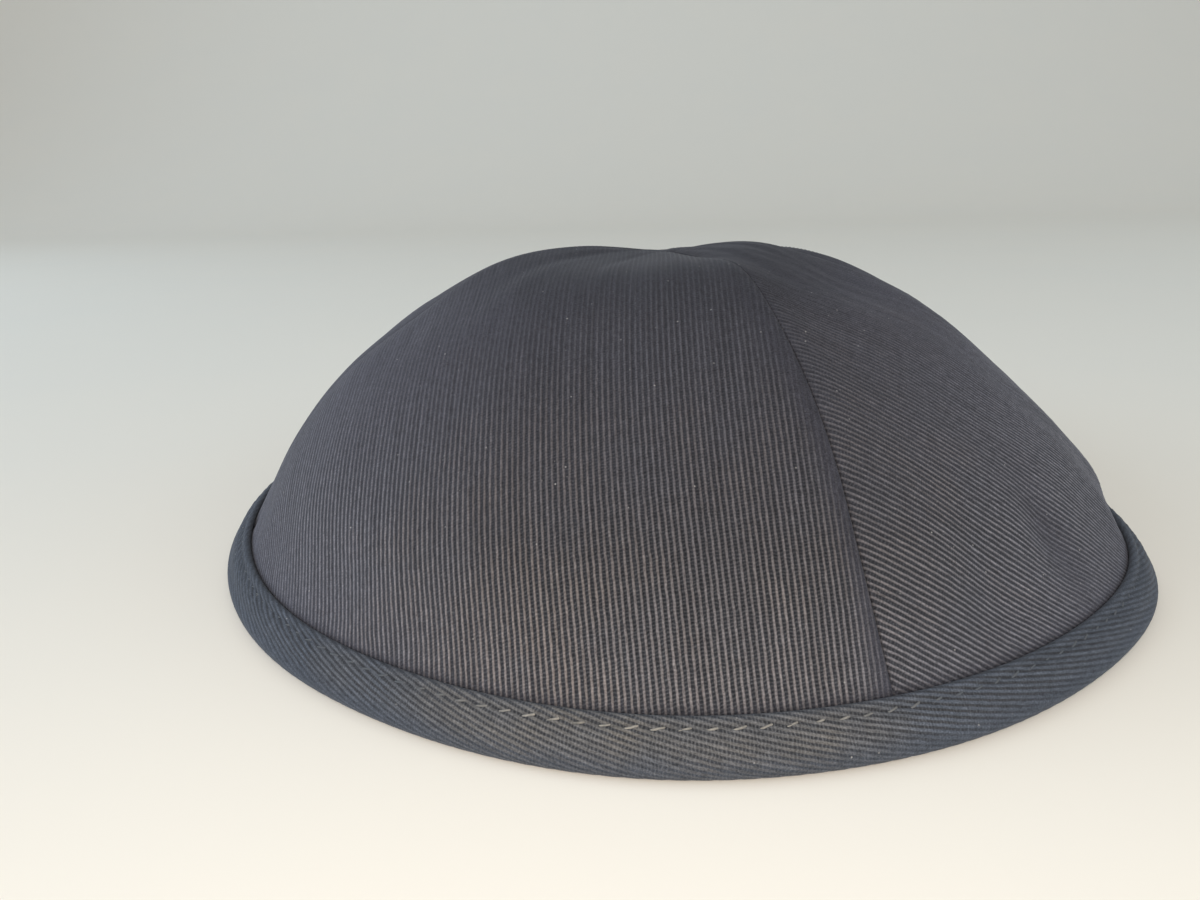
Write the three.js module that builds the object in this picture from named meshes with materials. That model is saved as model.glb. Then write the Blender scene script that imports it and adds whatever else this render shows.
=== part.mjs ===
// Four-panel cloth skullcap with a folded binding around the rim, resting on its rim.
// Millimetres, +Z up. The origin is the rim's centre on the table, the front is at -Y.
import * as THREE from 'three';

// Crown sizes
const rimRadius = 85; // outermost radius of the binding
const crownHeight = 51; // top of the crown above the table
const panelThickness = 1.2; // one panel's cloth with its backing
const seamGap = 0.3; // clearance between neighbouring panels
const seamDip = 0.5; // how deep the cloth rolls down into a seam
const seamRoll = 1.5; // distance over which it rolls down
const tipRadius = 0.5; // the panels' tips end here, around the crown's centre
const hemShare = 0.95; // from this share of the way down, dents and seam rolls fade out

// Binding sizes
const bindingThickness = 1; // one leaf of the folded tape
const outerLeafRise = 6.8; // top edge of the outer leaf above the table
const innerLeafRise = 5; // top edge of the inner leaf above the table
const bindingGap = 0.3; // clearance between the tape and the hem inside it
const foldSquash = 0.25; // how far the fold is pressed flat where it rests
const edgeBevel = 0.3; // bevel along the turned edges of the tape

// Angles in degrees, turned from the front towards the right
const seamAzimuth = 19.7; // front right seam
const rimSlope = 51; // slope of the hem and the binding, from the table

// Fineness of the facets
const crownRows = 15;
const panelColumns = 20;
const rimSegments = 80;

// Crown profile from the centre to the binding's top edge:
// reach is a share of the radius there, rise a share of the height between the two
const crownProfile = [
  { reach: 0, rise: 1 },
  { reach: 0.122, rise: 0.998 },
  { reach: 0.244, rise: 0.985 },
  { reach: 0.363, rise: 0.948 },
  { reach: 0.479, rise: 0.877 },
  { reach: 0.588, rise: 0.779 },
  { reach: 0.688, rise: 0.652 },
  { reach: 0.778, rise: 0.504 },
  { reach: 0.858, rise: 0.338 },
  { reach: 0.933, rise: 0.163 },
  { reach: 1, rise: 0 },
];

// How far the cloth stands out from that profile, as shares of the rim's radius, at five heights
// spaced evenly down the slope, with a row for each seam and for the middle of each panel
const fullness = [
  { crown: 0.004, shoulder: 0.048, side: 0.039, flank: 0.028, hem: 0.01 }, // front right seam
  { crown: 0.014, shoulder: -0.011, side: -0.011, flank: -0.004, hem: 0.009 }, // right panel
  { crown: 0.002, shoulder: 0.011, side: -0.003, flank: -0.012, hem: -0.018 }, // right back seam
  { crown: -0.012, shoulder: -0.004, side: -0.005, flank: -0.003, hem: 0.002 }, // back panel
  { crown: -0.012, shoulder: -0.006, side: 0.003, flank: 0.004, hem: 0 }, // back left seam
  { crown: 0.009, shoulder: 0.018, side: -0.004, flank: -0.006, hem: 0.007 }, // left panel
  { crown: 0.005, shoulder: -0.003, side: 0.01, flank: 0.018, hem: 0.022 }, // front left seam
  { crown: 0.002, shoulder: 0.02, side: 0.016, flank: 0.015, hem: 0.019 }, // front panel
];
const fullnessLevels = ['crown', 'shoulder', 'side', 'flank', 'hem'];

// Soft dents in the cloth: place is a share of the way down the slope, length and depth are shares
// of the slope and of the rim's radius
const dents = [
  { azimuth: 47, place: 0.87, halfWidth: 5, length: 0.1, depth: 0.014 }, // right panel, low
  { azimuth: -8, place: 0.9, halfWidth: 6, length: 0.08, depth: 0.004 }, // front panel, low
  { azimuth: 66, place: 0.42, halfWidth: 10, length: 0.12, depth: 0.006 }, // right panel, high
];

// The panels lie one after the other from the front right seam round to the left
const panelNames = ['right', 'back', 'left', 'front'];
const panelAngle = 360 / panelNames.length;

// Section of the rim: its folded tape leans inwards, with the hem held along its middle line
const slope = THREE.MathUtils.degToRad(rimSlope);
const channelHalf = panelThickness / 2 + bindingGap;
const foldRadius = channelHalf + bindingThickness;
const foldCentre = new THREE.Vector2(rimRadius - foldRadius, foldRadius - foldSquash);
const upSlope = new THREE.Vector2(-Math.cos(slope), Math.sin(slope));
const outward = new THREE.Vector2(Math.sin(slope), Math.cos(slope));

// Point of the rim's section: along its slope from the fold's centre, and out from its middle line
function rimPoint(along, out) {
  return foldCentre.clone().addScaledVector(upSlope, along).addScaledVector(outward, out);
}

// Length along the slope at which a face that far out reaches a height
function lengthToHeight(height, out) {
  return (height - foldCentre.y - out * outward.y) / upSlope.y;
}

const outerLeafLength = lengthToHeight(outerLeafRise, foldRadius);
const innerLeafLength = lengthToHeight(innerLeafRise, -foldRadius);
const foot = rimPoint(outerLeafLength, panelThickness / 2);
const crownCurve = new THREE.SplineCurve(
  crownProfile.map(({ reach, rise }) => {
    return new THREE.Vector2(reach * foot.x, foot.y + rise * (crownHeight - foot.y));
  }),
);
const slopeLength = crownCurve.getLength();

// Smooth curve through evenly spaced values, read at a place between them
function smoothBetween(valueAt, place) {
  const index = Math.floor(place);
  const part = place - index;
  const [before, from, to, after] = [-1, 0, 1, 2].map((step) => valueAt(index + step));
  const turn = 2 * before - 5 * from + 4 * to - after;
  const bend = 3 * (from - to) + after - before;
  return from + 0.5 * part * (to - before + part * (turn + part * bend));
}

// The cloth has no fullness at the crown's centre or at the binding
function fullnessAt(share, azimuth) {
  const rowPlace = ((azimuth - seamAzimuth) / 360) * fullness.length;
  const valueAt = (row, level) => {
    const wrapped = THREE.MathUtils.euclideanModulo(row, fullness.length);
    return fullness[wrapped][fullnessLevels[level - 1]] ?? 0;
  };
  const alongRows = (level) => smoothBetween((row) => valueAt(row, level), rowPlace);
  return rimRadius * smoothBetween(alongRows, share * (fullnessLevels.length + 1));
}

function dentDepthAt(share, azimuth) {
  let depth = 0;
  for (const dent of dents) {
    const turned = THREE.MathUtils.euclideanModulo(azimuth - dent.azimuth + 180, 360) - 180;
    const across = turned / dent.halfWidth;
    const down = (share - dent.place) / dent.length;
    depth += dent.depth * rimRadius * Math.exp(-across * across - down * down);
  }
  return depth;
}

// Dents and seam rolls fade out towards the binding, which holds the cloth flat
function hemFade(share) {
  return Math.min(1, (1 - share) / (1 - hemShare));
}

function seamDipAt(azimuth, radius) {
  const turned = THREE.MathUtils.euclideanModulo(azimuth - seamAzimuth, panelAngle);
  const angle = Math.min(turned, panelAngle - turned);
  const distance = radius * THREE.MathUtils.degToRad(angle);
  return seamDip * Math.exp(-distance / seamRoll);
}

// Turn a point of the section, radius and height, to its azimuth
function spun(point, azimuth) {
  const turn = THREE.MathUtils.degToRad(azimuth);
  return new THREE.Vector3(point.x * Math.sin(turn), -point.x * Math.cos(turn), point.y);
}

// Point of the crown's outer face: raised is how far the cloth stands out from the profile
function crownPoint(share, azimuth, raised) {
  const place = crownCurve.getPointAt(share);
  const tangent = crownCurve.getTangentAt(share);
  return spun(new THREE.Vector2(place.x - tangent.y * raised, place.y + tangent.x * raised), azimuth);
}

// The smooth cloth form, before it rolls down into the seams
function clothPoint(share, azimuth) {
  const raised = fullnessAt(share, azimuth) - hemFade(share) * dentDepthAt(share, azimuth);
  return crownPoint(share, azimuth, raised);
}

// Outward direction of the cloth, from points a small step apart
function clothNormal(share, azimuth) {
  const step = { share: 0.002, azimuth: 0.5 };
  const low = clothPoint(Math.min(1, share + step.share), azimuth);
  const high = clothPoint(Math.max(0, share - step.share), azimuth);
  const right = clothPoint(share, azimuth + step.azimuth);
  const left = clothPoint(share, azimuth - step.azimuth);
  return low.sub(high).cross(right.sub(left)).normalize();
}

// Outer and inner point of a panel above the binding
function panelPoints(share, azimuth) {
  const radius = crownCurve.getPointAt(share).x;
  const dip = hemFade(share) * seamDipAt(azimuth, radius);
  const normal = clothNormal(share, azimuth);
  const outer = clothPoint(share, azimuth).addScaledVector(normal, -dip);
  const inner = outer.clone().addScaledVector(normal, -panelThickness);
  return { outer, inner };
}

// Outer and inner point of a panel's lower edge, inside the binding's fold
function hemPoints(azimuth) {
  const outer = spun(rimPoint(0, panelThickness / 2), azimuth);
  const inner = spun(rimPoint(0, -panelThickness / 2), azimuth);
  return { outer, inner };
}

// Azimuths across a panel at one radius: even steps, with one more step along each seam
function azimuthsAcross(start, radius) {
  const edge = THREE.MathUtils.radToDeg(Math.asin(seamGap / 2 / radius));
  const rollShare = seamRoll / (foot.x * THREE.MathUtils.degToRad(panelAngle));
  const shares = [0, rollShare];
  for (let column = 1; column < panelColumns; column += 1) {
    shares.push(column / panelColumns);
  }
  shares.push(1 - rollShare, 1);
  return shares.map((share) => start + edge + share * (panelAngle - 2 * edge));
}

// Closed shell between an outer and an inner grid of the same size, faces pointing out
function shellGeometry(outer, inner) {
  const rows = outer.length;
  const columns = outer[0].length;
  const at = (layer, row, column) => (layer * rows + row) * columns + column;
  const indices = [];
  const addQuad = (a, b, c, d) => indices.push(a, b, c, a, c, d);
  const addWall = (from, to) => addQuad(at(0, ...to), at(0, ...from), at(1, ...from), at(1, ...to));
  for (let row = 1; row < rows; row += 1) {
    for (let column = 1; column < columns; column += 1) {
      const corners = [[row - 1, column - 1], [row, column - 1], [row, column], [row - 1, column]];
      addQuad(...corners.map((corner) => at(0, ...corner)));
      addQuad(...corners.reverse().map((corner) => at(1, ...corner)));
    }
  }
  for (let row = 1; row < rows; row += 1) {
    addWall([row - 1, 0], [row, 0]);
    addWall([row, columns - 1], [row - 1, columns - 1]);
  }
  for (let column = 1; column < columns; column += 1) {
    addWall([rows - 1, column - 1], [rows - 1, column]);
    addWall([0, column], [0, column - 1]);
  }
  const points = [...outer.flat(), ...inner.flat()];
  const geometry = new THREE.BufferGeometry().setFromPoints(points);
  geometry.setIndex(indices);
  geometry.computeVertexNormals();
  return geometry;
}

function panelGeometry(start) {
  const outer = [];
  const inner = [];
  const addRow = (points) => {
    outer.push(points.map((point) => point.outer));
    inner.push(points.map((point) => point.inner));
  };
  const tipShare = tipRadius / slopeLength;
  for (let row = 0; row <= crownRows; row += 1) {
    const share = tipShare + (1 - tipShare) * (row / crownRows);
    const radius = crownCurve.getPointAt(share).x;
    addRow(azimuthsAcross(start, radius).map((azimuth) => panelPoints(share, azimuth)));
  }
  addRow(azimuthsAcross(start, foldCentre.x).map(hemPoints));
  return shellGeometry(outer, inner);
}

// Arc of the rim's section around the fold's centre, turned from its outward side downwards
function foldArc(radius, angles) {
  return angles.map((angle) => {
    const turn = THREE.MathUtils.degToRad(angle);
    return rimPoint(-radius * Math.sin(turn), radius * Math.cos(turn));
  });
}

function bindingSection() {
  const lowest = 180 - rimSlope;
  const restHalf = THREE.MathUtils.radToDeg(Math.acos(1 - foldSquash / foldRadius));
  const restStart = lowest - restHalf;
  const outerAngles = [0, 1 / 3, 2 / 3, 1].map((share) => share * restStart);
  return [
    ...foldArc(foldRadius, [...outerAngles, lowest + restHalf, 180]),
    rimPoint(innerLeafLength - edgeBevel, -foldRadius),
    rimPoint(innerLeafLength, edgeBevel - foldRadius),
    rimPoint(innerLeafLength, -channelHalf),
    ...foldArc(channelHalf, [180, 135, 90, 45, 0]),
    rimPoint(outerLeafLength, channelHalf),
    rimPoint(outerLeafLength, foldRadius - edgeBevel),
    rimPoint(outerLeafLength - edgeBevel, foldRadius),
  ];
}

function bindingGeometry() {
  const section = bindingSection().reverse();
  const profile = [...section, section[0]];
  const geometry = new THREE.LatheGeometry(profile, rimSegments, THREE.MathUtils.degToRad(seamAzimuth));
  return geometry.rotateX(Math.PI / 2);
}

// Dark charcoal twill, a touch bluer on the binding
const panelCloth = new THREE.MeshStandardMaterial({ color: '#4d4b4f', roughness: 0.92, metalness: 0 });
const bindingCloth = new THREE.MeshStandardMaterial({ color: '#4a4b50', roughness: 0.9, metalness: 0 });

const skullcap = new THREE.Group();
skullcap.name = 'skullcap';

function addPiece(name, geometry, material) {
  const piece = new THREE.Mesh(geometry, material);
  piece.name = name;
  skullcap.add(piece);
}

panelNames.forEach((name, index) => {
  addPiece(`panel_${name}`, panelGeometry(seamAzimuth + index * panelAngle), panelCloth);
});
addPiece('rim_binding', bindingGeometry(), bindingCloth);

export default skullcap;
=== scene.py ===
import math

import bpy
import numpy as np
from mathutils import Matrix, Vector


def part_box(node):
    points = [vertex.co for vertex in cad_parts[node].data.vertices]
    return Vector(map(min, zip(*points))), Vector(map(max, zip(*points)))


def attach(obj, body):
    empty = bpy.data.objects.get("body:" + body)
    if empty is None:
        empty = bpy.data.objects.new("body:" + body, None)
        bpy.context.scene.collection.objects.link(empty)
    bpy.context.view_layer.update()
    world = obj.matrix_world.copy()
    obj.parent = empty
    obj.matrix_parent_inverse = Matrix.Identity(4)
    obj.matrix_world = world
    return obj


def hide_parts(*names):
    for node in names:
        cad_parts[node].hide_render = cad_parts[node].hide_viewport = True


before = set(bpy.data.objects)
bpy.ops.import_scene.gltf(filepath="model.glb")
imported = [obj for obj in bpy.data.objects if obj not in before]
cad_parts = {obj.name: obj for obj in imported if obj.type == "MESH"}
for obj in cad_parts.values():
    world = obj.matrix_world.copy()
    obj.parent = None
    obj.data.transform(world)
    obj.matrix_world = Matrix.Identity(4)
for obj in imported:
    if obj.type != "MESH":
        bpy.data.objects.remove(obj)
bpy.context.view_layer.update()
print("frame loaded, nodes:", ", ".join(sorted(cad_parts)))

# Sizes below are in millimetres and angles in degrees, unless a line says otherwise.
# Azimuth 0 is the front (-Y) and grows towards the right (+X).
mm = 0.001
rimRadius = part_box("rim_binding")[1][0] / mm  # the binding's outermost radius

capForm = {
    "crownHeight": 51.0,
    "panelThickness": 1.2,
    "bindingThickness": 1.0,
    "bindingGap": 0.3,
    "foldSquash": 0.25,
    "outerLeafRise": 6.8,
    "innerLeafRise": 5.0,
    "rimSlope": 51.0,
    "seamAzimuth": 19.7,
    "hemShare": 0.95,  # dents fade out from here down to the binding
    "normalStep": 0.15,  # millimetres and degrees over which the cloth's slant is measured
    "normalTurn": 0.25,
}

# Crown profile: share of the radius at the binding, share of the height above it
crownProfile = [
    (0, 1), (0.122, 0.998), (0.244, 0.985), (0.363, 0.948), (0.479, 0.877), (0.588, 0.779),
    (0.688, 0.652), (0.778, 0.504), (0.858, 0.338), (0.933, 0.163), (1, 0),
]

# How far the cloth stands out from the profile, as shares of the rim's radius, at five heights
# down the slope: crown, shoulder, side, flank and hem
fullness = {
    "front right seam": (0.012, 0.048, 0.039, 0.028, 0.01),
    "right panel": (0.018, -0.022, -0.012, -0.013, 0.006),
    "right back seam": (0.002, 0.011, -0.003, -0.012, -0.018),
    "back panel": (-0.012, -0.004, -0.005, -0.003, 0.002),
    "back left seam": (-0.018, -0.018, -0.004, 0.002, 0),
    "left panel": (-0.014, -0.016, 0.002, -0.002, 0.007),
    "front left seam": (0.025, 0.034, 0.014, 0.026, 0.022),
    "front panel": (0.002, 0.02, 0.016, 0.015, 0.019),
}

# Soft dents, and a swelling where the depth is negative: azimuth, share of the way down,
# half width in degrees, length and depth as shares
dents = [
    (36, 0.89, 6, 0.13, 0.016),
    (48, 0.885, 3.8, 0.08, 0.016),
    (84, 0.94, 13, 0.06, -0.016),
    (-8, 0.9, 6, 0.08, 0.004),
    (66, 0.42, 10, 0.12, 0.006),
]

panelNames = ["right", "back", "left", "front"]
panelAngle = 90.0


# Straight climb from 0 to 1 over a span that begins at a value
def climb(value, start, span):
    return np.clip((value - start) / span, 0, 1)


# Share that grows from its least value to 1 over a span
def grown(least, start, span, value):
    return least + (1 - least) * climb(value, start, span)


# Bell curve: 1 in its middle and 0.37 at its half width
def bell(distance, halfWidth):
    return np.exp(-((distance / halfWidth) ** 2))


# Amount times the bell curve of a half width
def bellOf(row, distance):
    amount, halfWidth = row
    return amount * bell(distance, halfWidth)


# Section of the rim, in radius and height: up its slope and out from its middle line
slope = math.radians(capForm["rimSlope"])
channelHalf = capForm["panelThickness"] / 2 + capForm["bindingGap"]
foldRadius = channelHalf + capForm["bindingThickness"]
foldCentre = np.array([rimRadius - foldRadius, foldRadius - capForm["foldSquash"]])
upSlope = np.array([-math.cos(slope), math.sin(slope)])
outward = np.array([math.sin(slope), math.cos(slope)])


# Fold centre plus the way up the slope plus the way out from the middle line
def rimPoint(along, out):
    along, out = np.broadcast_arrays(np.asarray(along, float), np.asarray(out, float))
    return foldCentre + along[..., None] * upSlope + out[..., None] * outward


# Length up the slope at which a face that far out reaches a height
def lengthToHeight(height, out):
    return (height - foldCentre[1] - out * outward[1]) / upSlope[1]


outerLeafLength = lengthToHeight(capForm["outerLeafRise"], foldRadius)
innerLeafLength = lengthToHeight(capForm["innerLeafRise"], -foldRadius)
foot = rimPoint(outerLeafLength, capForm["panelThickness"] / 2)


# Cubic through four evenly spaced values, between the middle two
def catmullRom(before, start, end, after, part):
    bend = 2 * before - 5 * start + 4 * end - after
    twist = 3 * (start - end) + after - before
    return start + 0.5 * part * (end - before + part * (bend + part * twist))


meridianSteps = {"perKnot": 200, "hem": 60, "smoothing": 41}


# Radius, height and slope length from the crown's centre down to the hem inside the binding: a cubic
# through the profile's knots, whose direction is averaged over a short window
def meridianTable():
    shares = np.array(crownProfile, float)
    heights = foot[1] + shares[:, 1] * (capForm["crownHeight"] - foot[1])
    knots = np.stack([shares[:, 0] * foot[0], heights], 1)
    ends = np.concatenate([knots[:1], knots, knots[-1:]])
    part = np.linspace(0, 1, meridianSteps["perKnot"], endpoint=False)[None, :, None]
    curve = catmullRom(ends[:-3, None], ends[1:-2, None], ends[2:-1, None], ends[3:, None], part)
    crown = np.concatenate([curve.reshape(-1, 2), knots[-1:]])
    crownLength = np.linalg.norm(np.diff(crown, axis=0), axis=1).sum()
    downHem = np.linspace(outerLeafLength, 0, meridianSteps["hem"])[1:]
    points = np.concatenate([crown, rimPoint(downHem, capForm["panelThickness"] / 2)])
    length = np.concatenate([[0], np.cumsum(np.linalg.norm(np.diff(points, axis=0), axis=1))])
    tangent = np.gradient(points, length, axis=0)
    tangent[0] = (1, 0)
    window = meridianSteps["smoothing"]
    padded = np.pad(tangent, ((window // 2, window // 2), (0, 0)), mode="edge")
    smooth = np.stack([np.convolve(padded[:, k], np.ones(window) / window, "valid") for k in (0, 1)], 1)
    return {"length": length, "points": points, "tangent": smooth, "slopeLength": crownLength}


meridian = meridianTable()
slopeLength = meridian["slopeLength"]
hemLength = meridian["length"][-1]


# Radius, height and the slope's direction at a distance from the crown, read between the table's rows
def meridianAt(distance):
    length = meridian["length"]
    radius, height = (np.interp(distance, length, meridian["points"][:, k]) for k in (0, 1))
    along, up = (np.interp(distance, length, meridian["tangent"][:, k]) for k in (0, 1))
    return radius, height, along, up


# Surface through the fullness table: each panel bows between its seams as a parabola in azimuth,
# so the seams are soft ridges, and the five heights are joined by a cubic
def fullnessAt(share, azimuth):
    rows = np.array(list(fullness.values()), float)
    grid = np.pad(rows, ((0, 0), (2, 2)))
    count = len(rows)
    place = (azimuth - capForm["seamAzimuth"]) / 360 * count
    seamRow = 2 * np.round(place / 2).astype(int)
    fromSeam = np.abs(place - seamRow)
    middleRow = seamRow + np.where(place < seamRow, -1, 1)
    bow = fromSeam * (2 - fromSeam)
    levelPlace = np.clip(share, 0, 1) * (rows.shape[1] + 1)
    level = np.minimum(np.floor(levelPlace).astype(int), rows.shape[1])

    def alongRows(column):
        seam, middle = grid[seamRow % count, column], grid[middleRow % count, column]
        return seam + (middle - seam) * bow

    return rimRadius * catmullRom(*[alongRows(level + k) for k in (0, 1, 2, 3)], levelPlace - level)


# Difference of two azimuths, from -180 to 180
def turned(azimuth, other):
    return (azimuth - other + 180) % 360 - 180


# Sum of bell-shaped hollows
def dentDepthAt(share, azimuth):
    depth = 0
    for dentAzimuth, place, halfWidth, length, deep in dents:
        across = turned(azimuth, dentAzimuth) / halfWidth
        depth = depth + deep * rimRadius * np.exp(-across**2 - ((share - place) / length) ** 2)
    return depth


# Climbs from 0 at the binding to 1 where the hem begins
def hemFade(share):
    return climb(1 - share, 0, 1 - capForm["hemShare"])


# Radius and height turned to their azimuth
def spun(radius, height, azimuth):
    turn = np.radians(azimuth)
    return np.stack([radius * np.sin(turn), -radius * np.cos(turn), height + 0 * turn], -1)


# Point of the smooth cloth: the profile pushed out along its own normal by the fullness
def clothPoint(distance, azimuth):
    radius, height, along, up = meridianAt(distance)
    share = np.minimum(distance / slopeLength, 1)
    raised = fullnessAt(share, azimuth) - hemFade(share) * dentDepthAt(share, azimuth)
    return spun(radius - up * raised, height + along * raised, azimuth)


# Cross product of the steps down the slope and round the crown
def clothNormal(distance, azimuth):
    step, turn = capForm["normalStep"], capForm["normalTurn"]
    low = clothPoint(np.minimum(distance + step, hemLength), azimuth)
    high = clothPoint(np.maximum(distance - step, 0), azimuth)
    right = clothPoint(distance, azimuth + turn)
    left = clothPoint(distance, azimuth - turn)
    normal = np.cross(low - high, right - left)
    size = np.linalg.norm(normal, axis=-1, keepdims=True)
    return np.where(size > 1e-9, normal / np.maximum(size, 1e-9), (0, 0, 1))


# Vertex numbers of a grid, row by row
def gridNumbers(shape, first=0):
    return first + np.arange(math.prod(shape)).reshape(shape)


# Two triangles for each cell of a grid of vertex numbers, or of several grids at once
def gridTriangles(index):
    a, b = index[..., :-1, :-1], index[..., 1:, :-1]
    c, d = index[..., 1:, 1:], index[..., :-1, 1:]
    return np.concatenate([np.stack([a, b, c], -1).reshape(-1, 3), np.stack([a, c, d], -1).reshape(-1, 3)])


# Soft bends of the rim seen from above: azimuth, half width in degrees, millimetres outwards
rimBends = [(60, 14, 1.1), (88, 15, -3.0), (112, 16, -1.6), (-28, 12, -0.4), (0, 12, 0.3)]
# They act in full up to a height and fade out over the band above it, by a power
bendFade = {"height": 5, "band": 12, "power": 1.5}


# Radius changed by bell-shaped bends
def settle(points):
    radius = np.hypot(points[:, 0], points[:, 1])
    azimuth = np.degrees(np.arctan2(points[:, 0], -points[:, 1]))
    pull = sum(out * bell(turned(azimuth, at), half) for at, half, out in rimBends)
    pull = pull * (1 - climb(points[:, 2], bendFade["height"], bendFade["band"])) ** bendFade["power"]
    scale = 1 + pull / np.maximum(radius, 1)
    return points * np.stack([scale, scale, np.ones(len(points))], 1)


# Merges numbered vertices, drops collapsed triangles and turns the shell outwards by its volume's sign
def makePiece(name, points, triangles, material, weave, merge=None):
    if merge is not None:
        triangles = merge[triangles]
    triangles = triangles[(triangles != np.roll(triangles, 1, axis=1)).all(1)]
    used, numbered = np.unique(triangles, return_inverse=True)
    triangles, points, weave = numbered.reshape(-1, 3), points[used], weave[used]
    points = settle(points)
    a, b, c = (points[triangles[:, k]] for k in range(3))
    if (a * np.cross(b, c)).sum() < 0:
        triangles = triangles[:, ::-1]
    mesh = bpy.data.meshes.new(name)
    mesh.vertices.add(len(points))
    mesh.vertices.foreach_set("co", (points * mm).astype(np.float32).ravel())
    mesh.loops.add(triangles.size)
    mesh.loops.foreach_set("vertex_index", triangles.astype(np.int32).ravel())
    mesh.polygons.add(len(triangles))
    mesh.polygons.foreach_set("loop_start", np.arange(0, triangles.size, 3, dtype=np.int32))
    mesh.update(calc_edges=True)
    mesh.polygons.foreach_set("use_smooth", np.ones(len(triangles), bool))
    layer = mesh.attributes.new("weave", "FLOAT_VECTOR", "POINT")
    layer.data.foreach_set("vector", weave[:, :3].astype(np.float32).ravel())
    layer = mesh.attributes.new("press", "FLOAT", "POINT")
    layer.data.foreach_set("value", weave[:, 3].astype(np.float32).ravel())
    mesh.materials.append(material)
    piece = bpy.data.objects.new(name, mesh)
    bpy.context.scene.collection.objects.link(piece)
    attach(piece, "root")
    print(name, "made,", len(triangles), "triangles")
    return piece


# Shader nodes: each method adds what it needs and gives back the result's socket
class NodeMaker:
    def __init__(self, material):
        material.use_nodes = True
        self.tree = material.node_tree
        self.tree.nodes.clear()

    # Inputs are sockets to link or plain values
    def add(self, kind, inputs=(), **settings):
        node = self.tree.nodes.new(kind)
        for key, value in settings.items():
            setattr(node, key, value)
        for socket, value in dict(inputs).items():
            if isinstance(value, bpy.types.NodeSocket):
                self.tree.links.new(value, node.inputs[socket])
            else:
                node.inputs[socket].default_value = value
        return node

    def math(self, operation, first, second=0.0, third=0.0):
        node = self.add("ShaderNodeMath", {0: first, 1: second, 2: third}, operation=operation)
        return node.outputs[0]

    # Product of all the values
    def times(self, first, *others):
        for other in others:
            first = self.math("MULTIPLY", first, other)
        return first

    # Straight line: the value times a slope, plus a start
    def line(self, value, slope, start):
        return self.math("MULTIPLY_ADD", value, slope, start)

    # Map of a value from one range to another, held inside it, straight or with eased ends
    def ramp(self, value, low, high, start=0.0, end=1.0, smooth=False):
        inputs = {0: value, 1: low, 2: high, 3: start, 4: end}
        kind = "SMOOTHSTEP" if smooth else "LINEAR"
        return self.add("ShaderNodeMapRange", inputs, interpolation_type=kind).outputs[0]

    # Place in a flat field of noise cells: so many per rib and per millimetre along it
    def cells(self, rib, along, counts):
        inputs = {0: self.times(rib, counts[0]), 1: self.times(along, counts[1])}
        return self.add("ShaderNodeCombineXYZ", inputs).outputs[0]

    # Colour times a grey level
    def scale(self, colour, factor):
        grey = self.add("ShaderNodeCombineColor", {0: factor, 1: factor, 2: factor}).outputs[0]
        return self.mix(1.0, colour, grey, "MULTIPLY")

    # Blend of two colours by a share of the second
    def mix(self, factor, first, second, blend="MIX"):
        inputs = {0: factor, 6: first, 7: second}
        return self.add("ShaderNodeMix", inputs, data_type="RGBA", blend_type=blend).outputs[2]

    # Noise from 0 to 1 on a vector
    def noise(self, vector, scale, detail=2.0, roughness=0.5):
        inputs = {"Vector": vector, "Scale": scale, "Detail": detail, "Roughness": roughness}
        return self.add("ShaderNodeTexNoise", inputs).outputs["Fac"]

    # Principled surface, with a bump where its inputs are given
    def surface(self, inputs, bump=None):
        if bump:
            inputs = {**inputs, "Normal": self.add("ShaderNodeBump", bump).outputs[0]}
        shader = self.add("ShaderNodeBsdfPrincipled", inputs)
        self.add("ShaderNodeOutputMaterial", {"Surface": shader.outputs[0]})


# Places in metres up the cap or sideways from its middle, noise scales per metre
twill = {
    "beadPitch": 0.46,  # millimetres between the short crossing yarns
    "beadSlant": 0.35,  # how far a crossing yarn leans over one rib, in pitches
    "beadWander": 1.6,
    "wanderWidth": 0.3,  # how far the ribs wander, in pitches
    "wanderCells": (0.8, 0.6),
    "crestFray": 0.2,
    "fuzzScale": 4600,
    "castScale": 34,
    "patchScale": 130,
    "castShare": 0.6,
    "toneRange": (0.4, 0.6),
    "toneCool": 0.6,  # how far the random cast and then the height turn the crests cooler, the height's share as painted cool light
    "paintedCrownCool": 0.7,
    "bridgeFade": 0.7,  # share of the crossing yarns that is lost at the sides
    "bridgeLight": 0.22,
    "pressFlat": 0.75,
    "upperFlat": 0.8,
    "mostFlat": 0.9,
    "streakCells": (1.3, 0.05),
    "streakLevels": (0.82, 1.18),
    "wornCells": (1.1, 0.7),
    "wornLevels": (0.8, 1.2),
    "noiseRange": (0.25, 0.75),
    "fuzzRange": (0.27, 0.73),
    "fuzzLevels": (0.5, 1.5),
    "shadeDepth": 0.5,
    "flatRise": (0.018, 0.05),  # up the crown the weave is flattened and painted cool light turns it cooler
    "paintedShadeRise": (0.007, 0.022),  # painted shade: the cloth is made darker up the front
    "paintedShadeDepth": 0.32,
    "sideReach": (0.018, 0.055),  # sideways the painted shade lessens, painted light brightens the cloth and painted cool light turns it cooler
    "paintedShadeSideLoss": 0.75,
    # painted shade: the cloth darkens at the top of the crown
    "paintedTopShadeRise": (0.044, 0.051),
    "paintedTopShadeLevel": 0.76,
    "speckScale": 620,
    "speckEdge": (0.1, 0.04),
    "speckless": 0.7,  # share of the cells without dust
    "speckStrength": 0.6,
    "speckColour": (0.45, 0.45, 0.46, 1),
    "yarnRelief": 0.5,
    "fuzzRelief": 0.6,
    "bump": {"Strength": 0.7, "Distance": 0.00006},
    "roughness": (0.98, 0.86),  # in the valleys and on the crests
}
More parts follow.
